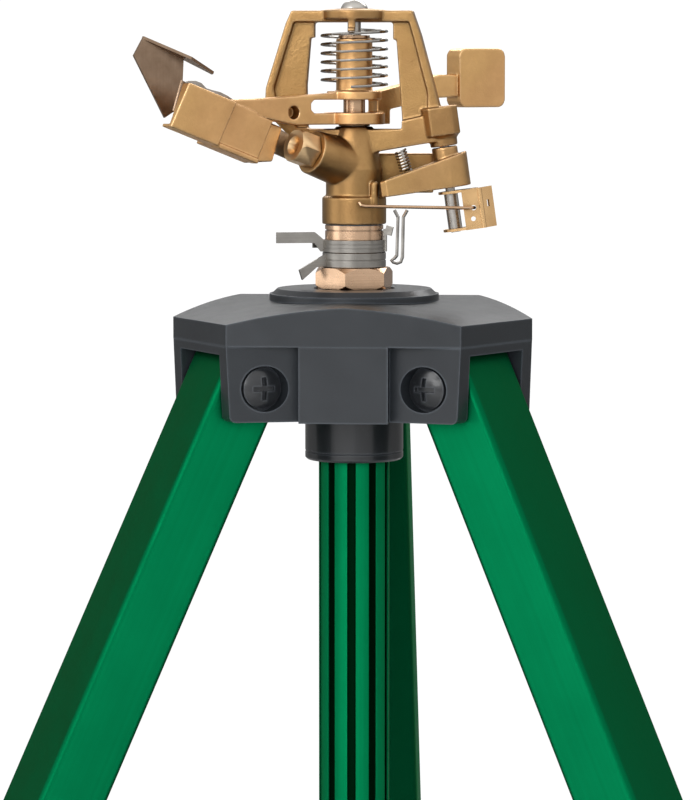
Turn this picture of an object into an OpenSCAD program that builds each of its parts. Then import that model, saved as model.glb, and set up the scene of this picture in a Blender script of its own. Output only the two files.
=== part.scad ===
// Impact sprinkler head on a folding tripod: brass head, moulded hub, fluted riser, telescopic legs.
// Frame: millimetres, +Z up, the origin at the mouth of the hose inlet, the front towards -Y.

/* [Stand] */
// Height of the hub's underside above the mouth of the hose inlet
hub_z = 329.5; // [250:0.5:900]
// Depth of the ground below the mouth of the hose inlet
ground_drop = 150; // [60:5:300]
// Angle of a leg from the vertical
leg_splay = 25.5; // [15:0.5:35]
// Distance of a leg's pivot from the riser's axis
pivot_r = 47.5; // [40:0.5:60]
// Height of a leg's pivot above the hub's underside
pivot_z = 11.7; // [8:0.1:18]

/* [Legs] */
// Leg tube's width across the tangent
leg_w = 32; // [24:1:40]
// Leg tube's depth along the radius
leg_d = 24; // [18:1:32]
// Leg tube's wall
leg_wall = 1.6; // [1:0.1:3]
// Outer corner radius of a leg tube
leg_corner = 2.4; // [1:0.1:4]
// Length of the upper tube above its pivot
leg_top = 6.6; // [4:0.1:10]
// Length of the upper tube below its pivot
upper_len = 322; // [200:2:420]
// Distance from the pivot to the top of the lower tube
lower_top = 75; // [40:1:150]

/* [Hub] */
// Distance from the axis to the three wide faces
face_wide = 50.6; // [45:0.1:60]
// Distance from the axis to the three narrow faces that hold the legs
face_narrow = 60.6; // [52:0.1:70]
// Height of the lower skirt, up to the step
skirt_h = 26.5; // [20:0.1:32]
// Crown height at the middle of a wide face
crown_h = 40.2; // [36:0.1:48]
// Radius of the crown's curve over each leg
crown_r = 170; // [120:5:300]
// Distance from the axis to the highest line of each of those curves
crown_at = 14.3; // [0:0.1:20]
// Width of a leg slot
slot_w = 34.7; // [30:0.1:40]
// Height of a leg slot's roof
slot_h = 23.3; // [20:0.1:27]
// Height of the turret that carries the head
turret_h = 44.1; // [40:0.1:56]

/* [Riser] */
// Riser tube's outer diameter
riser_d = 25.5; // [20:0.1:34]
// Number of flutes on the riser
flutes = 10; // [6:1:16]
// Width of a flute
flute_w = 3; // [2:0.1:4]
// Lock collar's diameter
collar_d = 35.3; // [30:0.1:42]
// Lock collar's height
collar_h = 17.4; // [8:0.1:24]
// Hose nut's thread radius at its crests
hose_r = 13.3; // [12:0.1:14]

/* [Head] */
// Turn of the whole head on the stand
head_yaw = 4.5; // [-180:0.5:180]
// The head's heights count from a level this far below the hub's underside
head_drop = 4.5; // [0:0.1:10]
// Turn of the jet and the arm from the bridge's left side towards the front
jet_yaw = 35; // [20:1:50]
// Rise of the jet above the horizontal
jet_rise = 18; // [15:0.5:30]
// Height of the elbow's centre above the hub's underside
elbow_z = 91.6; // [80:0.1:100]
// Bridge's turn about the swivel axis
bridge_yaw = -5; // [-15:1:15]
// Tilt of the trip axis
trip_tilt = 8; // [0:1:20]
// Radius of the fulcrum pin
pin_r = 2.4; // [1.5:0.1:4]
// Coil radius of the arm spring
arm_coil_r = 11.7; // [8:0.1:14]
// Turns of the arm spring
arm_turns = 6.5; // [3:0.5:10]

/* [Hidden] */
$fn = 64;
eps = 0.02;
leg_names = ["left", "right", "rear"];
leg_angles = [210, 330, 90];
wide_angles = [270, 30, 150];
foot_len = (hub_z + pivot_z + ground_drop) / cos(leg_splay);
inner_w = leg_w - 2 * leg_wall;
inner_d = leg_d - 2 * leg_wall;
lower_w = inner_w - 0.6;
lower_d = inner_d - 0.6;
nut_z = turret_h + head_drop;
sleeve_r = 10.45;
tube_r = 8;
body_r = 10.15;
skirt_r = 11.5;
skirt_z = [71.6, 81.3];
neck_z = 106.4;
arm_z = 107.2;
boss_z = [144.5, 147.8];
trip_at = [34, -3, 86];
brass = [0.72, 0.55, 0.36];
bronze = [0.80, 0.58, 0.38];
polished = [0.84, 0.68, 0.48];
plastic = [0.27, 0.29, 0.30];
black = [0.13, 0.14, 0.15];
green = [0.0, 0.47, 0.27];
steel = [0.66, 0.65, 0.62];

// ---- shared shapes -------------------------------------------------------------------------

module tube(r, bore, h) {
    difference() {
        cylinder(r = r, h = h);
        translate([0, 0, -1]) cylinder(r = bore, h = h + 2);
    }
}

// a rectangle with rounded corners, exact arcs
module rounded_rect(w, d, r) {
    union() {
        square([w - 2 * r, d], center = true);
        square([w, d - 2 * r], center = true);
        for (x = [-1, 1], y = [-1, 1])
            translate([x * (w / 2 - r), y * (d / 2 - r)]) circle(r = r, $fn = 32);
    }
}

// a box section tube along -Z from z = top to z = -length
module box_tube(w, d, wall, r, top, length) {
    translate([0, 0, -length]) linear_extrude(top + length) difference() {
        rounded_rect(d, w, r);
        rounded_rect(d - 2 * wall, w - 2 * wall, max(r - wall, 0.4));
    }
}

// a helical wire about Z, from z0 to z1
module coil(r, wire, z0, z1, turns, steps = 18, sides = 7) {
    n = ceil(turns * steps);
    rings = [for (i = [0:n], j = [0:sides - 1])
        let (a = 360 * turns * i / n, b = 360 * j / sides, q = r + wire * cos(b))
        [q * cos(a), q * sin(a), z0 + (z1 - z0) * i / n + wire * sin(b)]];
    sides_f = [for (i = [0:n - 1], j = [0:sides - 1])
        let (k = (j + 1) % sides)
        [i * sides + j, i * sides + k, (i + 1) * sides + k, (i + 1) * sides + j]];
    polyhedron(rings, concat([[for (j = [sides - 1:-1:0]) j]], sides_f,
        [[for (j = [0:sides - 1]) n * sides + j]]), convexity = 8);
}

function unit(v) = v / norm(v);

// a bent wire through a list of points; no stretch of it may run along Y
module wire(points, r, sides = 10) {
    last = len(points) - 1;
    rings = [for (i = [0:last])
        let (before = unit(points[max(i, 1)] - points[max(i, 1) - 1]),
            after = unit(points[min(i, last - 1) + 1] - points[min(i, last - 1)]),
            along = unit(before + after),
            side = unit(cross(along, [0, 1, 0])),
            up = cross(side, along))
        for (j = [0:sides - 1]) points[i] + r * (cos(360 * j / sides) * side + sin(360 * j / sides) * up)];
    walls = [for (i = [0:last - 1], j = [0:sides - 1])
        let (k = (j + 1) % sides)
        [i * sides + j, i * sides + k, (i + 1) * sides + k, (i + 1) * sides + j]];
    polyhedron(rings, concat([[for (j = [sides - 1:-1:0]) j]], walls,
        [[for (j = [0:sides - 1]) last * sides + j]]), convexity = 6);
}

// a cross recess for a driver, cut from z = 0 downwards
module cross_recess(size, depth) {
    for (a = [0, 90]) rotate(a) translate([-size / 2, -size / 9, -depth]) cube([size, size / 4.5, depth + 1]);
}

module at_leg(angle) {
    translate([0, 0, hub_z]) rotate(angle) translate([pivot_r, 0, pivot_z]) rotate([0, -leg_splay, 0]) children();
}

module at_hub() {
    translate([0, 0, hub_z]) children();
}

module at_head() {
    translate([0, 0, hub_z - head_drop]) rotate(head_yaw) children();
}

// X along the jet, Y towards the front, Z across the jet upwards
module at_jet() {
    at_head() translate([0, 0, elbow_z]) rotate(180 + jet_yaw) rotate([0, -jet_rise, 0]) children();
}

// X along the arm towards the spoon, with heights kept
module at_arm() {
    at_head() rotate(180 + jet_yaw) children();
}

module at_trip() {
    at_head() translate(trip_at) rotate([0, -trip_tilt, 0]) children();
}

// ---- stand ---------------------------------------------------------------------------------

module hub_plan() {
    intersection() {
        circle(r = 80);
        intersection_for(a = wide_angles) rotate(a) translate([face_wide - 200, -100]) square(200);
        intersection_for(a = leg_angles) rotate(a) translate([face_narrow - 200, -100]) square(200);
    }
}

// one leg housing seen from above, a little wider towards the axis
module housing_plan() {
    half = (face_wide - face_narrow / 2) / sin(60);
    polygon([[22, -half - 11], [face_narrow, -half], [face_narrow, half], [22, half + 11]]);
}

// everything under a surface that is level as far as crown_at, then curves down towards one leg
module crown_over(angle) {
    from_axis = face_wide / 2 - crown_at;
    below = sqrt(crown_r * crown_r - from_axis * from_axis);
    rotate(angle) translate([crown_at, 0, crown_h - below]) {
        rotate([90, 0, 0]) cylinder(r = crown_r, h = 300, center = true, $fn = 360);
        translate([-150, -150, 0]) cube([150, 300, crown_r]);
    }
}

module hub() {
    block_w = 31;
    block_out = face_wide + 0.3;
    color(plastic) at_hub() difference() {
        union() {
            intersection() {
                translate([0, 0, skirt_h]) linear_extrude(20) hub_plan();
                crown_over(leg_angles[0]);
                crown_over(leg_angles[1]);
                crown_over(leg_angles[2]);
            }
            intersection() {
                linear_extrude(skirt_h + eps) for (a = leg_angles) rotate(a) housing_plan();
                union() for (a = leg_angles) rotate(a) rotate([90, 0, 0])
                    linear_extrude(80, center = true) polygon(concat([[10, 0]],
                        [for (t = [-90:15:0]) [57.2 + 2.2 * cos(t), 2.2 + 2.2 * sin(t)]],
                        [[face_narrow, skirt_h + 1], [10, skirt_h + 1]]));
            }
            for (a = wide_angles) rotate(a) translate([14, -block_w / 2, 0]) cube([block_out - 14, block_w, skirt_h + eps]);
            cylinder(r = 24, h = skirt_h + eps);
            translate([0, 0, 34]) cylinder(r = 30.4, h = 8.3);
            translate([0, 0, 42.3 - eps]) cylinder(r1 = 29.6, r2 = 27.6, h = turret_h - 42.3 + eps);
        }
        for (a = leg_angles) rotate(a) {
            translate([pivot_r - 15.2, -slot_w / 2, -1]) cube([60, slot_w, slot_h + 1]);
            translate([pivot_r, 0, pivot_z]) rotate([90, 0, 0]) cylinder(r = 3.3, h = 80, center = true);
            for (s = [-1, 1]) translate([pivot_r, s * 23.2, pivot_z]) rotate([-s * 90, 0, 0]) cylinder(r = 8, h = 20);
        }
        translate([0, 0, -1]) cylinder(r = riser_d / 2 + 0.1, h = 21.5);
        translate([0, 0, 20]) cylinder(r = 14.6, h = 40);
    }
}

module hub_insert() {
    color(brass) at_hub() difference() {
        union() {
            translate([0, 0, 20.6]) cylinder(r = 14.5, h = turret_h - 21.2);
        }
        translate([0, 0, 10]) cylinder(r = 10.1, h = 60);
        for (z = [27, 36]) translate([0, 0, z]) difference() {
            cylinder(r = 16, h = 3);
            translate([0, 0, -1]) cylinder(r = 13.7, h = 5);
        }
    }
}

module riser_collar() {
    color(black) at_hub() translate([0, 0, -collar_h]) difference() {
        union() {
            cylinder(r1 = collar_d / 2 - 0.8, r2 = collar_d / 2, h = 0.8);
            translate([0, 0, 0.8]) cylinder(r = collar_d / 2, h = 2);
            translate([0, 0, 2.8]) cylinder(r = collar_d / 2 - 0.35, h = 0.5);
            translate([0, 0, 3.3]) cylinder(r = collar_d / 2, h = collar_h - 3.3 - 0.1);
        }
        translate([0, 0, -1]) cylinder(r = riser_d / 2 + 0.1, h = 40);
    }
}

module riser_pipe() {
    z0 = 40;
    color(green) translate([0, 0, z0]) linear_extrude(hub_z + 20 - z0) difference() {
        circle(d = riser_d);
        circle(r = 9.6);
        for (i = [0:flutes - 1]) rotate(-90 + i * 360 / flutes) translate([riser_d / 2 + 0.1, 0])
            square([3.2, flute_w], center = true);
    }
}

module inlet_coupling() {
    color(black) difference() {
        union() {
            translate([0, 0, 14.5]) cylinder(r = 11.2, h = 12);
            translate([0, 0, 11]) cylinder(r = 12.6, h = 4.5);
            translate([0, 0, 22.5]) cylinder(r = 16.2, h = 4);
            translate([0, 0, 26.5]) cylinder(r = 17.4, h = 24);
            translate([0, 0, 50.5]) cylinder(r1 = 17.4, r2 = 15.4, h = 4);
        }
        translate([0, 0, 5]) cylinder(r = 8.6, h = 60);
        translate([0, 0, 39.7]) cylinder(r = riser_d / 2 + 0.1, h = 30);
        for (i = [0:17]) rotate(i * 20) translate([18.1, 0, 29]) cylinder(r = 1.3, h = 19, $fn = 24);
    }
}

module hose_nut() {
    color(brass) difference() {
        union() {
            cylinder(r = 17, h = 17);
            translate([0, 0, 17]) cylinder(r1 = 17, r2 = 15.4, h = 2.4);
            for (i = [0:7]) rotate(i * 45) translate([15.6, -2.6, 3]) cube([3, 5.2, 12]);
        }
        translate([0, 0, -1]) cylinder(r = hose_r, h = 9.1);
        translate([0, 0, 8]) cylinder(r = hose_r + 0.3, h = 8.2);
        translate([0, 0, 10]) cylinder(r = 11.5, h = 20);
    }
}

module hose_washer() {
    color(black) translate([0, 0, 8.1]) tube(hose_r - 0.3, 7.6, 2.8);
}

module pivot_screw(angle) {
    color(black) at_leg(angle) rotate([0, leg_splay, 0]) rotate([90, 0, 0]) difference() {
        union() {
            translate([0, 0, -21]) cylinder(r = 2.4, h = 44.7);
            intersection() {
                translate([0, 0, 23.25]) cylinder(r = 7.1, h = 5.2);
                translate([0, 0, 14.2]) sphere(r = 13);
            }
        }
        translate([0, 0, 27.4]) cross_recess(8, 2.6);
    }
}

module pivot_nut(angle) {
    color(black) at_leg(angle) rotate([0, leg_splay, 0]) rotate([-90, 0, 0]) difference() {
        union() {
            translate([0, 0, -13]) cylinder(r = 3.2, h = 36.7);
            intersection() {
                translate([0, 0, 23.25]) cylinder(r = 7.1, h = 5.2);
                translate([0, 0, 14.2]) sphere(r = 13);
            }
        }
        translate([0, 0, -14]) cylinder(r = 2.45, h = 36);
        translate([0, 0, 27.4]) cross_recess(8, 2.6);
    }
}

module upper_leg(angle) {
    color(green) at_leg(angle) difference() {
        box_tube(leg_w, leg_d, leg_wall, leg_corner, leg_top, upper_len);
        rotate([90, 0, 0]) cylinder(r = 4, h = 60, center = true);
    }
}

module leg_plug(angle) {
    color(black) at_leg(angle) difference() {
        translate([0, 0, -24]) linear_extrude(24 + leg_top + 0.4) difference() {
            rounded_rect(inner_d - 0.2, inner_w - 0.2, 0.8);
            for (x = [-1, 1]) translate([x * inner_d / 2, 0]) square([5, 10], center = true);
        }
        rotate([90, 0, 0]) cylinder(r = 3.3, h = 60, center = true);
        translate([-5, -9, -30]) cube([10, 18, 20]);
    }
}

module lock_collar(angle) {
    top = upper_len - 16;
    color(black) at_leg(angle) difference() {
        union() {
            translate([0, 0, -upper_len - 14]) linear_extrude(30) rounded_rect(leg_d + 6, leg_w + 6, 4);
            for (y = [-1, 1]) translate([leg_d / 2 + 1, y * 8 - 2, -upper_len - 8]) cube([9, 4, 16]);
        }
        translate([0, 0, -upper_len]) linear_extrude(40) rounded_rect(leg_d + 0.2, leg_w + 0.2, leg_corner);
        translate([0, 0, -upper_len - 30]) linear_extrude(60) rounded_rect(lower_d + 0.6, lower_w + 0.6, 1);
        translate([leg_d / 2 + 6.5, 0, -upper_len]) rotate([90, 0, 0]) cylinder(r = 1.6, h = 40, center = true);
    }
}

module lock_lever(angle) {
    color(black) at_leg(angle) translate([leg_d / 2 + 6.5, 0, -upper_len]) {
        rotate([90, 0, 0]) cylinder(r = 1.5, h = 19.6, center = true);
        rotate([90, 0, 0]) cylinder(r = 3.2, h = 11.4, center = true);
        translate([0, -5.7, 0]) cube([3.4, 11.4, 30]);
        translate([1.4, -8.5, 13]) cube([3, 17, 18]);
        translate([2.9, 0, 31]) rotate([90, 0, 0]) cylinder(r = 1.9, h = 17, center = true);
    }
}

module lower_leg(angle) {
    color(green) at_leg(angle) translate([0, 0, -lower_top]) difference() {
        box_tube(lower_w, lower_d, 1.4, 1, 0, foot_len - lower_top - 22);
    }
}

module foot(angle) {
    color(black) difference() {
        union() {
            at_leg(angle) translate([0, 0, -foot_len - 4]) linear_extrude(40) difference() {
                rounded_rect(lower_d + 5, lower_w + 5, 3);
            }
            rotate(angle) translate([pivot_r + foot_len * sin(leg_splay) - 1, 0, -ground_drop]) {
                cylinder(r = 21, h = 3.6);
                translate([0, 0, 3.6]) cylinder(r1 = 21, r2 = 16, h = 3);
            }
        }
        at_leg(angle) translate([0, 0, -foot_len + 21.8]) linear_extrude(40) rounded_rect(lower_d + 0.1, lower_w + 0.1, 1);
        translate([0, 0, -ground_drop - 40]) cylinder(r = 500, h = 40);
    }
}

// ---- head: bearing -------------------------------------------------------------------------

module bearing_sleeve() {
    nut_h = 7.5;
    color(bronze) at_head() rotate(17) difference() {
        union() {
            translate([0, 0, 27]) cylinder(r = 10, h = 28);
            intersection() {
                translate([0, 0, nut_z + 0.05]) cylinder(r = 14.5, h = nut_h, $fn = 6);
                translate([0, 0, nut_z - 0.2]) cylinder(r1 = 12.9, r2 = 12.9 + nut_h + 0.4, h = nut_h + 0.4);
                translate([0, 0, nut_z]) cylinder(r1 = 12.6 + nut_h + 0.1, r2 = 12.6, h = nut_h + 0.1);
            }
            translate([0, 0, 55]) cylinder(r = sleeve_r - 0.55, h = 11);
            translate([0, 0, 66.1]) cylinder(r = sleeve_r, h = 3.1);
            translate([0, 0, 69.1]) cylinder(r = sleeve_r - 0.45, h = 0.7);
            translate([0, 0, 69.8]) cylinder(r = sleeve_r, h = 1.4);
            translate([0, 0, 65.6]) cylinder(r1 = sleeve_r - 0.55, r2 = sleeve_r, h = 0.52);
        }
        translate([0, 0, 20]) cylinder(r = tube_r + 0.06, h = 60);
    }
}

module bearing_tube() {
    color(brass) at_head() difference() {
        union() {
            translate([0, 0, 22.4]) cylinder(r = tube_r, h = 61);
            translate([0, 0, 22.4]) cylinder(r = 9.4, h = 3.6);
        }
        translate([0, 0, 20]) cylinder(r = 6.3, h = 70);
    }
}

module bearing_washers() {
    color(black) at_head() {
        translate([0, 0, 71.25]) tube(10.2, tube_r + 0.1, 1);
        translate([0, 0, 26.02]) tube(9.4, tube_r + 0.1, 0.9);
    }
}

module bearing_spring() {
    color(steel) at_head() coil(9.35, 0.55, 72.9, 79.9, 3, 20, 7);
}

// ---- head: casting -------------------------------------------------------------------------

// outline of the bridge seen from the front: x, z
module bridge_outline() {
    polygon([[-8, 98], [-20, 100], [-31.8, 112], [-31.3, 120.2], [-24.2, 143], [-22.1, 147.6], [21, 147.6],
        [24, 139], [30.6, 114.4], [32.8, 101.5], [23.2, 100], [6, 97]]);
}

module bridge_window() {
    polygon([[-5.6, neck_z - 0.8], [-16.4, neck_z - 0.8], [-16.8, 121], [-15.4, 138], [-14, 138], [-14, 143.4],
        [14, 143.4], [14, 137.2], [15.2, 137.2], [17.3, 109], [17.3, neck_z - 0.8], [5.6, neck_z - 0.8]]);
}

module bridge_recess() {
    polygon([[-27.6, 116], [-28.4, 120], [-21.2, 143.6], [19.8, 143.6], [21.4, 138.2], [26.6, 118], [26.6, 110.6],
        [6, 106], [-6, 106], [-20, 106]]);
}

module bridge() {
    rotate(bridge_yaw) rotate([90, 0, 0]) difference() {
        linear_extrude(10, center = true) bridge_outline();
        linear_extrude(12, center = true) bridge_window();
        for (s = [-1, 1]) translate([0, 0, s * 7]) linear_extrude(9, center = true) bridge_recess();
    }
}

module body_casting() {
    color(brass) difference() {
        union() {
            at_head() {
                translate([0, 0, skirt_z[0]]) cylinder(r = skirt_r, h = skirt_z[1] - skirt_z[0]);
                translate([0, 0, skirt_z[1] - eps]) cylinder(r1 = skirt_r - 0.2, r2 = body_r, h = 0.5);
                translate([0, 0, skirt_z[1]]) cylinder(r = body_r, h = elbow_z - skirt_z[1]);
                translate([0, 0, elbow_z - eps]) cylinder(r1 = body_r, r2 = 5.6, h = 5.4);
                translate([0, 0, elbow_z]) cylinder(r1 = 10, r2 = 6.6, h = neck_z - elbow_z);
                bridge();
                rotate(bridge_yaw) translate([0, 0, boss_z[0]]) cylinder(r = 11.7, h = boss_z[1] - boss_z[0]);
                rotate(bridge_yaw) translate([0, 0, boss_z[1] - eps]) cylinder(r1 = 11.3, r2 = 6.2, h = 0.5);
                // rib behind the trip lever
                translate([5, 5.2, 82.5]) cube([23.5, 3, 14.2]);
                // stop lug on the front of the skirt
                translate([7.2, -8.9, 78.2]) cylinder(r = 1.5, h = 7.6);
                translate([7.2, -8.9, 85.8]) sphere(r = 1.5);
                // hook that anchors the arm spring
                rotate(bridge_yaw) translate([-1.3, -11.4, 140.1]) cube([2.6, 2, 5.5]);
                rotate(bridge_yaw) translate([-1.3, -13.4, 140.1]) cube([2.6, 3, 1.2]);
            }
            at_jet() rotate([0, 90, 0]) cylinder(r1 = 8.9, r2 = 7.9, h = 19.5);
            // square post that carries the trip pin
            at_trip() {
                translate([0, 0, 13.6]) cylinder(r = 4.9, h = 2.6);
                translate([0, 0, 16.2 - eps]) cylinder(r1 = 4.9, r2 = 6, h = 1.4);
                difference() {
                    translate([-6.3, -6.3, 17.5]) cube([12.6, 12.6, 10.2]);
                    for (a = [45:90:315]) rotate(a) translate([7.3, -10, 10]) cube([10, 20, 30]);
                }
            }
        }
        at_head() {
            translate([0, 0, 60]) cylinder(r = tube_r, h = 23.42);
            translate([0, 0, 60]) cylinder(r = 10.35, h = 20.6);
            translate([0, 0, 80]) cylinder(r = 6.3, h = elbow_z - 80);
            translate([0, 0, elbow_z]) sphere(r = 6.3);
            translate([0, 0, 97.5]) cylinder(r = pin_r + 0.02, h = 60);
        }
        at_jet() rotate([0, 90, 0]) cylinder(r = 5, h = 30);
        at_trip() translate([0, 0, 5]) cylinder(r = 1.72, h = 20);
        at_jet() translate([14, -4, 0]) rotate([90, 0, 0]) cylinder(r = 1.5, h = 10);
        // clearance under the bridge for the deflector strip
        at_jet() translate([4, -20, -5]) cube([24, 11.05, 9.5]);
    }
}

module nozzle() {
    color(bronze) at_jet() rotate([0, 90, 0]) difference() {
        union() {
            translate([0, 0, 10]) cylinder(r = 4.95, h = 11);
            intersection() {
                translate([0, 0, 19.6]) rotate(30) cylinder(r = 6.4, h = 8, $fn = 6);
                translate([0, 0, 19.6]) cylinder(r1 = 9.4, r2 = 5.8, h = 8);
            }
        }
        translate([0, 0, 5]) cylinder(r = 2.1, h = 30);
        translate([0, 0, 25.2]) cylinder(r1 = 2.1, r2 = 3.5, h = 2.5);
        translate([0, 0, 9]) cylinder(r1 = 4.4, r2 = 2.1, h = 9);
    }
}

module fulcrum_pin() {
    top = boss_z[1] + 0.5;
    color(steel) at_head() {
        translate([0, 0, 97.6]) cylinder(r = pin_r, h = top - 97.6 + 0.5);
        intersection() {
            translate([0, 0, top]) cylinder(r = 4.85, h = 5);
            translate([0, 0, top - 1.7]) sphere(r = 5.2);
        }
    }
}

module arm_spring() {
    color(steel) at_head() rotate(-96) coil(arm_coil_r, 0.5, 120.6, 141, arm_turns, 20, 7);
}

// ---- head: deflector -----------------------------------------------------------------------

module deflector_strip() {
    // seen from the side: x along the jet, z across it; the upper edge is wavy
    outer = [[20.4, -4], [40, -3], [72, -3], [72, 9], [70.7, 9.8], [68, 10.7], [65.5, 10.7], [63, 9.6], [60, 9.8],
        [57, 10.1], [53.8, 9.8], [50, 9], [44, 6.5], [30, 5.5], [20.4, 4]];
    color(steel) at_jet() difference() {
        union() {
            translate([9, -10, -4]) cube([11.5, 1, 8]);
            translate([0, -9, 0]) rotate([90, 0, 0]) linear_extrude(1) polygon(outer);
        }
        translate([14, 0, 0]) rotate([90, 0, 0]) cylinder(r = 1.6, h = 30);
    }
}

module deflector_screw() {
    color(steel) at_jet() translate([14, -10.05, 0]) rotate([90, 0, 0]) difference() {
        union() {
            cylinder(r = 2.9, h = 1.7);
            translate([0, 0, -4.8]) cylinder(r = 1.48, h = 5.2);
        }
        translate([0, 0, 1.7]) cross_recess(3.4, 1);
    }
}

module deflector_flap() {
    color(steel) at_jet() translate([73.1, -9.5, 0]) {
        translate([0, 0, -2]) cylinder(r = 1, h = 11);
        rotate([90, 0, 0]) translate([0, 0, -0.5]) linear_extrude(1)
            polygon([[0, -2], [3.1, -5.4], [21.6, 11.2], [19.9, 17.9], [1.9, 16.2], [0, 9]]);
        translate([0, -0.5, 16]) rotate([0, -5.2, 0]) linear_extrude(1)
            polygon([[-11.4, 0], [-11, 1.6], [2, 6], [20, 1], [20, 0]]);
    }
}

// ---- head: swing arm -----------------------------------------------------------------------

module arm_web() {
    rotate([90, 0, 0]) linear_extrude(5.6, center = true) difference() {
        polygon([[0, arm_z], [26.8, arm_z], [52, 111.6], [54, 116.2], [41, 116.6], [0, 119]]);
        polygon([[-1, 111.4], [19, 111.2], [20.4, 112.6], [20.4, 114.8], [19, 116], [-1, 116]]);
    }
}

module at_spoon() {
    translate([0, 0, elbow_z]) rotate([0, -jet_rise, 0]) translate([58.6, 0, 1.4]) rotate([0, -1.6, 0]) children();
}

// an upright plate of the spoon, its outline seen from the front: x, z
module spoon_plate(front, thick, outline) {
    translate([0, front, 0]) rotate([90, 0, 0]) linear_extrude(thick) polygon(outline);
}

module spoon_box() {
    at_spoon() {
        // outer front plate with its inturned end, then the inner front plate with its lip
        spoon_plate(6.6, 1.8, [[0.5, 4.4], [21.2, 4.4], [23.4, -12.4], [2.9, -12.4]]);
        translate([21.2, 0, 4.4]) rotate([0, -7.46, 0]) translate([-1, 0, -16.9]) rotate([90, 0, 90])
            linear_extrude(1) polygon([[6.6, 0], [4.9, 0], [2.1, 16.9], [6.6, 16.9]]);
        spoon_plate(5, 1.8, [[-17, 3.6], [1.5, 3.6], [3.6, -11.6], [-15.2, -11.6]]);
        translate([-15.1, 2, -12.9]) cube([18, 4.2, 1.9]);
        // back wall, floors and the tie under the web
        spoon_plate(-3, 1.6, [[-26.4, 4.4], [5, 4.4], [5, -12.4], [-16, -12.4], [-26.4, -8.4]]);
        translate([-15.2, -4.6, -12.4]) cube([20.2, 9.6, 1.6]);
        translate([2.9, 0.4, -12.4]) cube([20.4, 6.2, 1.2]);
        translate([-10, -4.6, 2.8]) cube([15, 9.6, 1.6]);
    }
}

module swing_arm() {
    color(brass) at_arm() difference() {
        union() {
            arm_web();
            translate([0, 0, arm_z]) cylinder(r = 11, h = 4.2);
            translate([0, 0, 116]) cylinder(r = 9.8, h = 3);
            translate([0, 0, 116]) cylinder(r = 6.5, h = 21.6);
            spoon_box();
            // tail: a vertical cheek, then the bar and the paddle
            translate([-14, -2.8, arm_z]) cube([6, 5.6, 11.8]);
            rotate([90, 0, 0]) linear_extrude(5.6, center = true)
                polygon([[-9, 111.6], [-9, 118.8], [-36, 124.8], [-46, 124.8], [-46, 116.8], [-36, 116.4]]);
            translate([-54.4, 0, 123.6]) rotate([90, 0, 0]) linear_extrude(8.2, center = true) rounded_rect(20.8, 21.4, 3);
        }
        translate([0, 0, 100]) cylinder(r = 3.94, h = 12);
        translate([0, 0, 115]) cylinder(r = 3.94, h = 30);
        translate([0, 0, 111.4]) cylinder(r = 8.4, h = 4.6);
        translate([27.8, 4, 111.6]) rotate([90, 0, 0]) cylinder(r = 2.3, h = 5.2);
    }
}

module arm_bushing() {
    color(bronze) at_head() difference() {
        union() {
            translate([0, 0, neck_z + 0.1]) cylinder(r = 3.9, h = 32);
            translate([0, 0, neck_z + 0.1]) cylinder(r = 5.6, h = 0.6);
            translate([0, 0, 137.65]) cylinder(r = 5.6, h = 1.2);
        }
        translate([0, 0, 100]) cylinder(r = pin_r + 0.06, h = 60);
    }
}

// ---- head: trip ----------------------------------------------------------------------------

module trip_pin() {
    color(steel) at_trip() {
        translate([0, 0, -17.3]) cylinder(r = 1.7, h = 41);
        translate([0, 0, -15.9]) cylinder(r = 2.5, h = 12.3);
    }
}

module trip_lever() {
    color(brass) at_trip() difference() {
        union() {
            difference() {
                translate([0, 0, -1.2]) linear_extrude(14) union() {
                    circle(r = 7.6);
                    polygon([[2, 7.3], [-22.6, -3.4], [-24.6, -5], [-24.6, -9], [-22.6, -10.4], [0, -7.6]]);
                }
                translate([0, 0, 9.4]) rotate([0, -11.6, 0]) translate([-50, -30, 0]) cube([80, 60, 30]);
            }
            translate([0, 0, 6]) cylinder(r = 4.6, h = 7.3);
        }
        translate([0, 0, -10]) cylinder(r = 1.78, h = 40);
    }
}

module trip_spring() {
    color(steel) at_head() translate([18.4, -7.2, 90.8]) rotate([0, -16, 0]) coil(1.9, 0.42, 0, 7.4, 7, 12, 6);
}

module trip_bracket() {
    t = 0.9;
    low = -16.9;
    high = -3.4;
    tall = high + t - low;
    color(polished) at_trip() difference() {
        union() {
            for (z = [low, high]) translate([0, 0, z]) linear_extrude(t) union() {
                circle(r = 4.4);
                polygon([[-1, -4.4], [9.8, -6.6], [9.8, 0], [0, 4.4]]);
            }
            translate([3.6, -7.4, low]) cube([6.6, t, tall]);
            translate([9.8, -7.4, low]) rotate(40) cube([6.4, t, tall]);
            translate([10, -6.9, low]) cylinder(r = 0.9, h = tall, $fn = 24);
        }
        translate([0, 0, -20]) cylinder(r = 1.78, h = 30);
        translate([7.2, -5, -9.3]) rotate([90, 0, 0]) cylinder(r = 0.95, h = 5, $fn = 24);
        translate([6.6, -5, -13.2]) rotate([90, 0, 0]) cylinder(r = 0.85, h = 5, $fn = 24);
        translate([9.8, -7.4, -9.6]) rotate(40) translate([3.2, -3, 0]) cube([1.1, 6, 2.4]);
    }
}

// the shift rod: from the loop beside the skirt to its eye in the bracket
module trip_wire() {
    color(bronze) at_head() wire([[1.6, -13.2, 79.8], [2.4, -13.4, 78.7], [4, -13.4, 78.4], [40.6, -11.9, 77.7],
        [41.7, -11.4, 77.8], [42.8, -9, 77.8]], 0.6);
}

module trip_finger() {
    color(steel) at_head() wire([[18.8, -13.9, 77.1], [17.4, -13.9, 74.6], [17.1, -13.9, 60.4],
        [16.5, -13.9, 58.7], [15.2, -13.9, 58.2], [13.8, -13.9, 58.6], [13.2, -13.9, 59.2], [14.3, -13.9, 60],
        [15.1, -13.9, 61], [15.5, -13.9, 74.6], [14.2, -13.9, 77.1]], 0.6);
}

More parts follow.
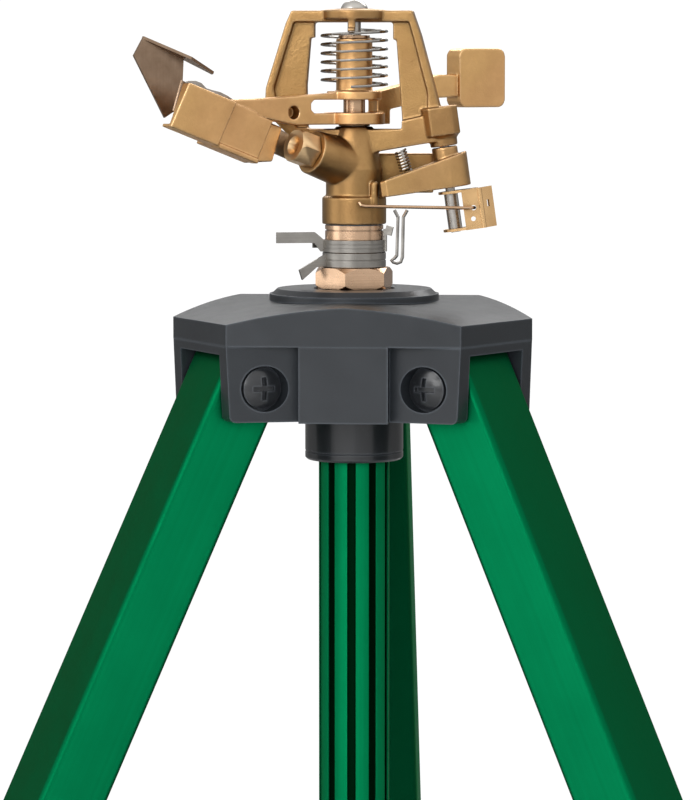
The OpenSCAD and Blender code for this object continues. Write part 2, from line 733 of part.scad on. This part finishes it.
// ---- stop collars --------------------------------------------------------------------------

// a split, ridged band
module stop_band(z, h, ridges) {
    translate([0, 0, z]) difference() {
        tube(11.4, 10.7, h);
        rotate(-20) translate([0, -0.8, -1]) cube([20, 1.6, h + 2]);
        for (i = [1:ridges - 1]) translate([0, 0, i * h / ridges - 0.2]) difference() {
            cylinder(r = 13, h = 0.4);
            translate([0, 0, -1]) cylinder(r = 11.1, h = 3);
        }
    }
}

// a flat tab that stands off a band, its outline seen from the front: x, z
module stop_tab(outline) {
    rotate([90, 0, 0]) translate([0, 0, -0.5]) linear_extrude(1) polygon(outline);
}

module stop_collar_upper() {
    color(steel) at_head() rotate(10) {
        stop_band(61.7, 4.3, 3);
        stop_tab([[-10.8, 61.8], [-12.2, 61.8], [-14.6, 64.8], [-16, 64.9], [-28.3, 64.9], [-28.3, 68.8],
            [-14.4, 68.8], [-12.4, 67.2], [-11, 65.9], [-10.8, 65.9]]);
        translate([-14.6, 2.2, 63]) rotate(12) cube([3.9, 0.8, 2.9]);
        rotate(-26) translate([10.9, -0.5, 61.9]) {
            cube([1.2, 1, 8]);
            translate([0.4, 0, 6.2]) rotate([0, 14, 0]) cube([2.6, 1, 3.2]);
        }
    }
}

module stop_collar_lower() {
    color(steel) at_head() rotate(24) {
        stop_band(56.4, 5, 2);
        stop_tab([[-10.8, 56.5], [-12.4, 56.5], [-14.8, 56.4], [-20.4, 51.9], [-21.6, 55.6], [-13, 60.2], [-10.8, 61.2]]);
    }
}

hub();
hub_insert();
riser_collar();
riser_pipe();
inlet_coupling();
hose_nut();
hose_washer();
pivot_screw(leg_angles[0]);  // pivot_screw_left
pivot_screw(leg_angles[1]);  // pivot_screw_right
pivot_screw(leg_angles[2]);  // pivot_screw_rear
pivot_nut(leg_angles[0]);  // pivot_nut_left
pivot_nut(leg_angles[1]);  // pivot_nut_right
pivot_nut(leg_angles[2]);  // pivot_nut_rear
upper_leg(leg_angles[0]);  // upper_leg_left
upper_leg(leg_angles[1]);  // upper_leg_right
upper_leg(leg_angles[2]);  // upper_leg_rear
leg_plug(leg_angles[0]);  // leg_plug_left
leg_plug(leg_angles[1]);  // leg_plug_right
leg_plug(leg_angles[2]);  // leg_plug_rear
lock_collar(leg_angles[0]);  // lock_collar_left
lock_collar(leg_angles[1]);  // lock_collar_right
lock_collar(leg_angles[2]);  // lock_collar_rear
lock_lever(leg_angles[0]);  // lock_lever_left
lock_lever(leg_angles[1]);  // lock_lever_right
lock_lever(leg_angles[2]);  // lock_lever_rear
lower_leg(leg_angles[0]);  // lower_leg_left
lower_leg(leg_angles[1]);  // lower_leg_right
lower_leg(leg_angles[2]);  // lower_leg_rear
foot(leg_angles[0]);  // foot_left
foot(leg_angles[1]);  // foot_right
foot(leg_angles[2]);  // foot_rear
bearing_sleeve();
bearing_tube();
bearing_spring();
bearing_washers();
body_casting();
nozzle();
fulcrum_pin();
arm_spring();
deflector_strip();
deflector_screw();
deflector_flap();
swing_arm();
arm_bushing();
trip_pin();
trip_lever();
trip_spring();
trip_bracket();
trip_wire();
trip_finger();
stop_collar_upper();
stop_collar_lower();
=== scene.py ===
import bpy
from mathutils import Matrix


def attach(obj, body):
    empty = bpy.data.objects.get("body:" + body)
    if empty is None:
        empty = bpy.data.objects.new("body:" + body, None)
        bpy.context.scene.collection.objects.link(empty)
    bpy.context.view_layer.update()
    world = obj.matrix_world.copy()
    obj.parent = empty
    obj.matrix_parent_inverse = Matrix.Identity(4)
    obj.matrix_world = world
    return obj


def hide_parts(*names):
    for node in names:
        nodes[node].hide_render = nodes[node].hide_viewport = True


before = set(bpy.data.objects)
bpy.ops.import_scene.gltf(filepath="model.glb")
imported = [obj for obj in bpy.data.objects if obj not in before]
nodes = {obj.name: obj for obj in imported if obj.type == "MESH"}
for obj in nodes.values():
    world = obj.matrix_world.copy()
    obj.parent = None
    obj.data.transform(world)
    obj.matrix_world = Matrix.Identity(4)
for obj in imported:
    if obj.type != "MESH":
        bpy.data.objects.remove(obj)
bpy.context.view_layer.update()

import math

import bmesh
import bpy
from mathutils import Matrix, Vector

MM = 0.001
scene = bpy.context.scene


# ---- the camera, the light and the floor ---------------------------------------------------

CAMERA_AZIMUTH = math.radians(4.5)
CAMERA_ELEVATION = math.radians(5.3)
CAMERA_DISTANCE = 1.3
FRAME_HALF_HEIGHT = 0.144
TARGET_HEIGHT = 0.3332
TARGET_SHIFT = 0.0033
GROUND = -0.15


def make_camera():
    data = bpy.data.cameras.new("camera")
    camera = bpy.data.objects.new("camera", data)
    scene.collection.objects.link(camera)
    right = Vector((math.cos(CAMERA_AZIMUTH), math.sin(CAMERA_AZIMUTH), 0))
    back = Vector((
        math.sin(CAMERA_AZIMUTH) * math.cos(CAMERA_ELEVATION),
        -math.cos(CAMERA_AZIMUTH) * math.cos(CAMERA_ELEVATION),
        math.sin(CAMERA_ELEVATION),
    ))
    target = Vector((0, 0, TARGET_HEIGHT)) - right * TARGET_SHIFT
    camera.location = target + back * CAMERA_DISTANCE
    camera.rotation_mode = "QUATERNION"
    camera.rotation_quaternion = (-back).to_track_quat("-Z", "Y")
    data.sensor_fit = "VERTICAL"
    data.sensor_height = 24
    data.sensor_width = 24
    data.angle_y = 2 * math.atan(FRAME_HALF_HEIGHT / CAMERA_DISTANCE)
    data.clip_start = 0.01
    data.clip_end = 50
    scene.camera = camera


BACKDROP = 1.05
AMBIENT = 0.17
LIGHT_AIM = (0, 0, 0.38)
# name, place, size, power in watts, seen by matt surfaces, seen in reflections
LIGHTS = (
    ("key_front", (-0.3, -1.6, 0.7), (1.0, 0.9), 17, True, False),
    ("shine_front", (-0.5, -1.6, 0.85), (0.7, 0.5), 5.5, False, True),
    ("fill_front", (0.5, -1.5, 0.30), (0.6, 0.9), 7, True, False),
    ("fill_back", (0.3, 1.7, 0.9), (1.2, 0.9), 9, True, False),
    ("shine_above", (-0.75, -0.95, 1.15), (0.7, 0.7), 5, False, True),
    ("shine_left", (-1.5, -0.5, 0.45), (0.8, 0.8), 2.2, False, True),
    ("shine_low", (-0.4, -1.2, -0.02), (1.2, 0.4), 1.2, False, True),
    ("top_back", (0.1, 0.85, 1.15), (1.2, 0.5), 10, False, True),
)


def area_light(name, place, size, power, diffuse, gloss):
    data = bpy.data.lights.new(name, "AREA")
    data.shape = "RECTANGLE"
    data.size, data.size_y = size
    data.energy = power
    light = bpy.data.objects.new(name, data)
    light.visible_glossy = gloss
    light.visible_diffuse = diffuse
    scene.collection.objects.link(light)
    light.location = place
    light.rotation_mode = "QUATERNION"
    light.rotation_quaternion = (Vector(LIGHT_AIM) - Vector(place)).to_track_quat("-Z", "Y")


def background(tree):
    made = tree.nodes.new("ShaderNodeBackground")
    made.inputs["Color"].default_value = (1, 1, 1, 1)
    return made


def smooth_range(tree, value, low, high, to_low, to_high):
    made = tree.nodes.new("ShaderNodeMapRange")
    made.interpolation_type = "SMOOTHSTEP"
    tree.links.new(value, made.inputs["Value"])
    for key, limit in (("From Min", low), ("From Max", high), ("To Min", to_low), ("To Max", to_high)):
        made.inputs[key].default_value = limit
    return made.outputs["Result"]


def product(tree, first, second):
    made = tree.nodes.new("ShaderNodeMath")
    made.operation = "MULTIPLY"
    tree.links.new(first, made.inputs[0])
    tree.links.new(second, made.inputs[1])
    return made.outputs[0]


def studio_strength(tree, path):
    """Even light for matt surfaces; reflections see a studio that is brighter in front and above."""
    where = tree.nodes.new("ShaderNodeTexCoord")
    split = tree.nodes.new("ShaderNodeSeparateXYZ")
    tree.links.new(where.outputs["Generated"], split.inputs[0])
    towards_front = smooth_range(tree, split.outputs["Y"], 0.7, -0.3, 0.32, 0.92)
    towards_top = smooth_range(tree, split.outputs["Z"], -0.4, 0.6, 0.6, 1.4)
    choose = tree.nodes.new("ShaderNodeMix")
    choose.inputs[2].default_value = AMBIENT
    tree.links.new(path.outputs["Is Glossy Ray"], choose.inputs[0])
    tree.links.new(product(tree, towards_front, towards_top), choose.inputs[3])
    return choose.outputs[0]


def make_light():
    scene.view_settings.view_transform = "Standard"
    scene.view_settings.look = "None"
    world = bpy.data.worlds.new("studio")
    scene.world = world
    world.use_nodes = True
    tree = world.node_tree
    tree.nodes.clear()
    out = tree.nodes.new("ShaderNodeOutputWorld")
    path = tree.nodes.new("ShaderNodeLightPath")
    seen = background(tree)
    seen.inputs["Strength"].default_value = BACKDROP
    given = background(tree)
    tree.links.new(studio_strength(tree, path), given.inputs["Strength"])
    mix = tree.nodes.new("ShaderNodeMixShader")
    tree.links.new(path.outputs["Is Camera Ray"], mix.inputs["Fac"])
    tree.links.new(given.outputs[0], mix.inputs[1])
    tree.links.new(seen.outputs[0], mix.inputs[2])
    tree.links.new(mix.outputs[0], out.inputs["Surface"])
    for light in LIGHTS:
        area_light(*light)


FLOOR_RADIUS = 1.5
FLOOR_TONE = (0.86, 0.86, 0.86, 1)
FLOOR_GAP = 0.0004


def floor_material():
    """Pale and matt; towards its rim it fades into the white backdrop, for the camera only."""
    material = bpy.data.materials.new("floor_pale")
    material.use_nodes = True
    tree = material.node_tree
    shader = tree.nodes["Principled BSDF"]
    shader.inputs["Base Color"].default_value = FLOOR_TONE
    shader.inputs["Roughness"].default_value = 0.9
    shader.inputs["Emission Color"].default_value = (1, 1, 1, 1)
    where = tree.nodes.new("ShaderNodeTexCoord")
    out = tree.nodes.new("ShaderNodeVectorMath")
    out.operation = "LENGTH"
    tree.links.new(where.outputs["Object"], out.inputs[0])
    lift = smooth_range(tree, out.outputs["Value"], 0.5, 1.45, 0.42, 1.0)
    path = tree.nodes.new("ShaderNodeLightPath")
    strength = product(tree, lift, path.outputs["Is Camera Ray"])
    tree.links.new(strength, shader.inputs["Emission Strength"])
    return material


def make_floor():
    mesh = bpy.data.meshes.new("floor")
    bm = bmesh.new()
    bmesh.ops.create_circle(bm, cap_ends=True, radius=FLOOR_RADIUS, segments=96)
    bmesh.ops.translate(bm, verts=bm.verts, vec=(0, 0, GROUND - FLOOR_GAP))
    bm.to_mesh(mesh)
    bm.free()
    floor = bpy.data.objects.new("floor", mesh)
    scene.collection.objects.link(floor)
    mesh.materials.append(floor_material())


# ---- materials -----------------------------------------------------------------------------


class Surface:
    """A Principled material whose colour, roughness and bump come from procedural nodes."""

    def __init__(self, name, metal=0.0, coat=0.0, specular=0.5):
        self.material = bpy.data.materials.new(name)
        self.material.use_nodes = True
        self.tree = self.material.node_tree
        self.shader = self.tree.nodes["Principled BSDF"]
        self.shader.inputs["Metallic"].default_value = metal
        self.shader.inputs["Coat Weight"].default_value = coat
        self.shader.inputs["Coat Roughness"].default_value = 0.15
        self.shader.inputs["Specular IOR Level"].default_value = specular
        self.place = self.tree.nodes.new("ShaderNodeTexCoord").outputs["Object"]
        self.normal = None

    def node(self, kind, settings=(), **values):
        made = self.tree.nodes.new(kind)
        for key, value in settings:
            setattr(made, key, value)
        for key, value in values.items():
            socket = made.inputs[key.replace("_", " ")]
            if isinstance(value, bpy.types.NodeSocket):
                self.tree.links.new(value, socket)
            else:
                socket.default_value = value
        return made

    def stretched(self, scale, turn=(0, 0, 0)):
        """Object coordinates turned, then scaled, for streaks that follow a direction."""
        turned = self.node("ShaderNodeMapping", Vector=self.place, Rotation=[math.radians(t) for t in turn])
        return self.node("ShaderNodeMapping", Vector=turned.outputs["Vector"], Scale=scale).outputs["Vector"]

    def noise(self, scale, detail, where=None):
        """Noise from 0 to 1, with its middle half spread over the whole range."""
        where = where or self.place
        made = self.node("ShaderNodeTexNoise", Vector=where, Scale=scale, Detail=detail, Roughness=0.55)
        return self.ramp(made.outputs["Fac"], 0.28, 0.72)

    def blend(self, factor, first, second):
        made = self.node("ShaderNodeMix", [("data_type", "RGBA")])
        for key, value in ((0, factor), (6, first), (7, second)):
            if isinstance(value, bpy.types.NodeSocket):
                self.tree.links.new(value, made.inputs[key])
            else:
                made.inputs[key].default_value = value if key == 0 else (*value, 1)
        return made.outputs[2]

    def ramp(self, value, low, high, to_low=0.0, to_high=1.0):
        ends = {"From_Min": low, "From_Max": high, "To_Min": to_low, "To_Max": to_high}
        return self.node("ShaderNodeMapRange", Value=value, **ends).outputs["Result"]

    def edges(self, radius):
        """Near 1 along sharp outer edges and inner corners, from a rounded normal."""
        rounded = self.node("ShaderNodeBevel", [("samples", 4)], Radius=radius)
        plain = self.node("ShaderNodeNewGeometry")
        dot = self.node("ShaderNodeVectorMath", [("operation", "DOT_PRODUCT")])
        self.tree.links.new(rounded.outputs[0], dot.inputs[0])
        self.tree.links.new(plain.outputs["Normal"], dot.inputs[1])
        return self.ramp(dot.outputs["Value"], 0.995, 0.86)

    def recess_shade(self, reach):
        """Near 1 in holes and inner corners, 0 on open faces: the mask for painted shade."""
        seen = self.node("ShaderNodeAmbientOcclusion", [("samples", 6)], Distance=reach)
        return self.ramp(seen.outputs["AO"], 0.75, 0.2)

    def bump(self, height, strength, distance):
        made = self.node("ShaderNodeBump", Height=height, Strength=strength, Distance=distance)
        if self.normal is not None:
            self.tree.links.new(self.normal, made.inputs["Normal"])
        self.normal = made.outputs["Normal"]

    def finish(self, colour, rough):
        for key, value in (("Base Color", colour), ("Roughness", rough), ("Normal", self.normal)):
            self.tree.links.new(value, self.shader.inputs[key])
        return self.material


def cast_brass(name, light, dark, wear_and_highlight, grain=1.0):
    """Sand-cast brass: mottled tone, fine pits, edges rubbed brighter with a painted highlight, painted
    shade in holes and corners.
    """
    s = Surface(name, metal=1.0)
    mottle = s.noise(95, 4)
    fine = s.noise(700, 2)
    olive = (0.96 * light[0], 1.07 * light[1], 0.84 * light[2])
    tone = s.blend(mottle, dark, light)
    tone = s.blend(s.ramp(s.noise(24, 2), 0.2, 0.9, 0, 0.4), tone, olive)
    tone = s.blend(s.ramp(fine, 0, 1, 0, 0.3), tone, dark)
    # edges rubbed brighter: partly wear, partly a painted highlight
    tone = s.blend(s.ramp(s.edges(0.0011), 0, 1, 0, 0.55), tone, wear_and_highlight)
    # painted shade: holes and inner corners darkened almost to black
    tone = s.blend(s.ramp(s.recess_shade(0.004), 0, 1, 0, 0.9), tone, (0.035, 0.017, 0.008))
    s.bump(s.noise(240, 3), 0.07 * grain, 0.0005)
    s.bump(s.noise(1500, 2), 0.2 * grain, 0.00013)
    return s.finish(tone, s.ramp(s.noise(260, 3), 0, 1, 0.29, 0.46))


def turned_brass(name, light, dark, rough=0.24, rings=True):
    """Machined brass: bright, with fine tool marks that run round the vertical axis."""
    s = Surface(name, metal=1.0)
    tone = s.blend(s.noise(60, 3), dark, light)
    if rings:
        lines = s.noise(1.0, 2, where=s.stretched((40, 40, 3200)))
        tone = s.blend(s.ramp(lines, 0, 1, 0, 0.35), tone, dark)
        s.bump(lines, 0.12, 0.00008)
    # painted shade: holes and inner corners darkened almost to black
    tone = s.blend(s.ramp(s.recess_shade(0.003), 0, 1, 0, 0.9), tone, (0.03, 0.014, 0.006))
    s.bump(s.noise(900, 2), 0.06, 0.0001)
    return s.finish(tone, s.ramp(s.noise(180, 3), 0, 1, rough - 0.05, rough + 0.08))


def steel(name, light, dark, rough=0.28, along=(30, 30, 2400), turn=(0, 0, 0)):
    """Bright drawn or rolled steel with faint lines along its length."""
    s = Surface(name, metal=1.0)
    lines = s.noise(1.0, 2, where=s.stretched(along, turn))
    tone = s.blend(s.noise(140, 3), dark, light)
    tone = s.blend(s.ramp(lines, 0, 1, 0, 0.4), tone, dark)
    s.bump(lines, 0.1, 0.00008)
    return s.finish(tone, s.ramp(s.noise(300, 3), 0, 1, rough - 0.06, rough + 0.1))


def green_paint(name, turn, away=None, flute_shade_radius=None):
    """Metallic green paint on an extruded tube: faint draw lines along the tube, soft orange peel.

    Painted shade: the faces that look along `away` are a deeper green, and those that look against it deeper
    still.
    Holes and inner corners are painted almost black as shade, and so is all that lies nearer to the tube's
    axis than `flute_shade_radius`."""
    s = Surface(name, metal=0.55, specular=0.05)
    s.shader.inputs["Specular Tint"].default_value = (0.02, 0.45, 0.18, 1)
    lines = s.noise(1.0, 2, where=s.stretched((900, 900, 5), turn))
    tone = s.blend(s.noise(22, 3), (0.0009, 0.198, 0.070), (0.0014, 0.240, 0.086))
    tone = s.blend(s.ramp(lines, 0, 1, 0, 0.3), tone, (0.0008, 0.140, 0.047))
    # painted shade: faces that look out along `away` darker green, faces that look in towards the stand
    # darker still
    if away is not None:
        faces = s.node("ShaderNodeVectorMath", [("operation", "DOT_PRODUCT")])
        normal = s.node("ShaderNodeNewGeometry").outputs["Normal"]
        s.tree.links.new(normal, faces.inputs[0])
        faces.inputs[1].default_value = (math.cos(away), math.sin(away), 0)
        tone = s.blend(s.ramp(faces.outputs["Value"], 0.04, 0.4, 0, 0.9), tone, (0.0003, 0.098, 0.034))
        tone = s.blend(s.ramp(faces.outputs["Value"], -0.1, -0.6, 0, 0.95), tone, (0.0003, 0.062, 0.022))
    # painted shade: holes, grooves and inner corners darkened almost to black
    tone = s.blend(s.recess_shade(0.005), tone, (0.0002, 0.006, 0.002))
    # painted shade: the riser's flute floors, nearer the axis than the given radius, go almost black
    if flute_shade_radius is not None:
        across = s.node("ShaderNodeVectorMath", [("operation", "LENGTH")], Vector=s.stretched((1, 1, 0)))
        painted_flute_shade = s.ramp(across.outputs["Value"], flute_shade_radius, flute_shade_radius - 0.0005, 0, 0.97)
        tone = s.blend(painted_flute_shade, tone, (0.0001, 0.004, 0.001))
    s.bump(lines, 0.05, 0.0001)
    s.bump(s.noise(620, 2), 0.07, 0.00012)
    return s.finish(tone, s.ramp(s.noise(90, 3), 0, 1, 0.34, 0.46))


def moulded_plastic(name, light, dark, rough, grain=0.12, coat=0.0):
    """Moulded plastic: fine spark texture, slight flow marks, a painted highlight along the edges."""
    s = Surface(name, coat=coat, specular=0.4)
    tone = s.blend(s.noise(30, 3), dark, light)
    tone = s.blend(s.ramp(s.noise(1400, 2), 0, 1, 0, 0.18), tone, dark)
    # painted highlight: sharp edges and inner corners lightened to a brighter tone of the plastic
    tone = s.blend(s.ramp(s.edges(0.0011), 0, 1, 0, 0.6), tone, tuple(min(1, 4.5 * c) for c in light))
    s.bump(s.noise(1900, 2), grain, 0.0001)
    s.bump(s.noise(55, 2), 0.03, 0.0006)
    return s.finish(tone, s.ramp(s.noise(120, 3), 0, 1, rough - 0.03, rough + 0.05))


def rubber(name):
    """Moulded rubber: matt, with a mottled tone."""
    s = Surface(name)
    tone = s.blend(s.noise(60, 4), (0.010, 0.010, 0.011), (0.026, 0.026, 0.027))
    s.bump(s.noise(900, 3), 0.25, 0.00025)
    return s.finish(tone, s.ramp(s.noise(200, 3), 0, 1, 0.66, 0.86))


LEG_ANGLES = {"left": 210, "right": 330, "rear": 90}
LEG_SPLAY = 25.5
# radius of the riser's flute floors in metres; nearer the axis the green carries painted shade, almost black
FLUTE_FLOOR = 0.01235


def leg_turn(side):
    """Degrees about X, Y and Z that lay a leg's own axis along Z."""
    away = math.radians(LEG_ANGLES[side])
    matrix = Matrix.Rotation(math.radians(LEG_SPLAY), 4, "Y") @ Matrix.Rotation(-away, 4, "Z")
    return tuple(math.degrees(a) for a in matrix.to_euler("XYZ"))


def make_materials():
    """Gives every CAD node its material, and returns the material of each by the node's name."""
    brass = cast_brass("brass_cast", (0.40, 0.232, 0.097), (0.29, 0.162, 0.064), (0.86, 0.62, 0.37))
    arm = cast_brass("brass_arm", (0.76, 0.44, 0.198), (0.60, 0.335, 0.144), (0.95, 0.72, 0.46), grain=0.8)
    copper = turned_brass("brass_nut", (0.80, 0.54, 0.36), (0.58, 0.38, 0.24))
    lever = cast_brass("brass_lever", (0.54, 0.32, 0.14), (0.42, 0.24, 0.10), (0.88, 0.64, 0.40), grain=0.8)
    turned = turned_brass("brass_turned", (0.64, 0.43, 0.275), (0.44, 0.28, 0.165))
    jet = turned_brass("brass_nozzle", (0.90, 0.64, 0.36), (0.66, 0.43, 0.22), 0.34)
    plate = turned_brass("brass_sheet", (0.78, 0.50, 0.24), (0.56, 0.34, 0.155), 0.26, rings=False)
    bright = steel("steel_bright", (0.60, 0.57, 0.53), (0.38, 0.36, 0.33))
    band = steel("steel_band", (0.40, 0.38, 0.35), (0.26, 0.245, 0.225), 0.36)
    wire = steel("steel_wire", (0.42, 0.40, 0.37), (0.24, 0.225, 0.21), 0.17, (60, 60, 60))
    sheet = steel("steel_sheet", (0.52, 0.48, 0.44), (0.34, 0.30, 0.26), 0.34, (60, 2400, 60), (0, 0, 39))
    flap = steel("steel_flap", (0.38, 0.27, 0.19), (0.24, 0.16, 0.105), 0.36, (60, 2400, 60), (0, 0, 39))
    hub = moulded_plastic("plastic_hub", (0.021, 0.0245, 0.029), (0.014, 0.0165, 0.020), 0.34)
    black = moulded_plastic(
        "plastic_black", (0.018, 0.020, 0.023), (0.011, 0.012, 0.014), 0.3, grain=0.08, coat=0.35
    )
    dark = rubber("rubber_dark")
    riser = green_paint("green_riser", (0, 0, 0), flute_shade_radius=FLUTE_FLOOR)
    use = {
        "hub": hub, "hub_insert": turned, "riser_collar": black, "riser_pipe": riser,
        "inlet_coupling": black, "hose_nut": turned, "hose_washer": dark,
        "bearing_sleeve": copper, "bearing_tube": turned, "bearing_spring": wire, "bearing_washers": black,
        "body_casting": brass, "nozzle": jet, "fulcrum_pin": bright, "arm_spring": wire,
        "deflector_strip": sheet, "deflector_screw": bright, "deflector_flap": flap,
        "swing_arm": arm, "arm_bushing": turned,
        "trip_pin": bright, "trip_lever": lever, "trip_spring": wire,
        "trip_bracket": plate, "trip_wire": turned, "trip_finger": wire,
        "stop_collar_upper": band, "stop_collar_lower": band,
    }
    for side, angle in LEG_ANGLES.items():
        green = green_paint("green_" + side, leg_turn(side), away=math.radians(angle))
        use["upper_leg_" + side] = green
        use["lower_leg_" + side] = green
        use["foot_" + side] = dark
        for part in ("pivot_screw", "pivot_nut", "leg_plug", "lock_collar", "lock_lever"):
            use[part + "_" + side] = black
    for name, node in nodes.items():
        node.data.materials.clear()
        node.data.materials.append(use[name])
    return use


# ---- rounded edges on the CAD pieces -------------------------------------------------------


WELD_DISTANCE = 0.000004
# millimetres; a part that repeats is named without its side, and a part not named here keeps sharp edges
EDGE_RADII = {
    "hub": 0.9, "riser_collar": 0.5, "riser_pipe": 0.2, "inlet_coupling": 0.5, "hose_nut": 0.5,
    "bearing_sleeve": 0.25, "stop_collar_upper": 0.12, "stop_collar_lower": 0.12,
    "nozzle": 0.25, "fulcrum_pin": 0.15, "arm_bushing": 0.2, "trip_bracket": 0.15,
    "deflector_strip": 0.15, "deflector_screw": 0.2, "deflector_flap": 0.2,
    "pivot_screw": 0.25, "pivot_nut": 0.25, "leg_plug": 0.4, "upper_leg": 0.25, "lower_leg": 0.25,
    "lock_collar": 0.6, "lock_lever": 0.5, "foot": 0.8,
}


def clean_group():
    """Joins the split faces of an imported mesh, drops its stored normals and shades it smooth."""
    group = bpy.data.node_groups.new("clean_faces", "GeometryNodeTree")
    for way in ("INPUT", "OUTPUT"):
        group.interface.new_socket("Geometry", in_out=way, socket_type="NodeSocketGeometry")
    start = group.nodes.new("NodeGroupInput")
    end = group.nodes.new("NodeGroupOutput")
    merge = group.nodes.new("GeometryNodeMergeByDistance")
    merge.inputs["Distance"].default_value = WELD_DISTANCE
    drop = group.nodes.new("GeometryNodeRemoveAttribute")
    drop.inputs["Name"].default_value = "custom_normal"
    smooth = group.nodes.new("GeometryNodeSetShadeSmooth")
    group.links.new(start.outputs[0], merge.inputs["Geometry"])
    group.links.new(merge.outputs["Geometry"], drop.inputs["Geometry"])
    group.links.new(drop.outputs["Geometry"], smooth.inputs["Geometry"])
    group.links.new(smooth.outputs["Geometry"], end.inputs[0])
    return group


def round_edges():
    """Bevels the CAD pieces; flat faces are first made one, but not on the thin stop collars."""
    clean = clean_group()
    for name, node in nodes.items():
        part = name if name in EDGE_RADII else name.rsplit("_", 1)[0]
        if part not in EDGE_RADII:
            continue
        node.modifiers.new("clean", "NODES").node_group = clean
        if not name.startswith("stop_collar"):
            flat = node.modifiers.new("flat", "DECIMATE")
            flat.decimate_type = "DISSOLVE"
            flat.angle_limit = math.radians(0.4)
        bevel = node.modifiers.new("edge", "BEVEL")
        bevel.width = EDGE_RADII[part] * MM
        bevel.segments = 2
        bevel.limit_method = "ANGLE"
        bevel.angle_limit = math.radians(32)
        bevel.use_clamp_overlap = True
        bevel.harden_normals = True


# ---- castings rebuilt with fillets ---------------------------------------------------------


def cast(node_name, piece_name, body, voxel, steps, keep, material):
    """Replaces a CAD casting by a copy, remeshed, relaxed into fillets and thinned to `keep`."""
    mesh = nodes[node_name].data.copy()
    bm = bmesh.new()
    bm.from_mesh(mesh)
    bmesh.ops.remove_doubles(bm, verts=bm.verts, dist=WELD_DISTANCE)
    bm.to_mesh(mesh)
    bm.free()
    mesh.name = piece_name
    piece = bpy.data.objects.new(piece_name, mesh)
    scene.collection.objects.link(piece)
    mesh.materials.clear()
    mesh.materials.append(material)
    remesh = piece.modifiers.new("voxels", "REMESH")
    remesh.mode = "VOXEL"
    remesh.voxel_size = voxel * MM
    remesh.use_smooth_shade = True
    relax = piece.modifiers.new("relax", "SMOOTH")
    relax.factor = 0.5
    relax.iterations = steps
    lighter = piece.modifiers.new("lighter", "DECIMATE")
    lighter.ratio = keep
    apply_modifiers(piece)
    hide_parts(node_name)
    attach(piece, body)


def apply_modifiers(piece):
    graph = bpy.context.evaluated_depsgraph_get()
    made = bpy.data.meshes.new_from_object(piece.evaluated_get(graph))
    old = piece.data
    piece.modifiers.clear()
    piece.data = made
    bpy.data.meshes.remove(old)


make_camera()
make_light()
make_floor()
used = make_materials()
round_edges()
cast("body_casting", "body_cast", "head", 0.32, 10, 0.3, used["body_casting"])
cast("swing_arm", "arm_cast", "arm", 0.3, 8, 0.3, used["swing_arm"])
cast("trip_lever", "lever_cast", "trip", 0.3, 6, 0.4, used["trip_lever"])
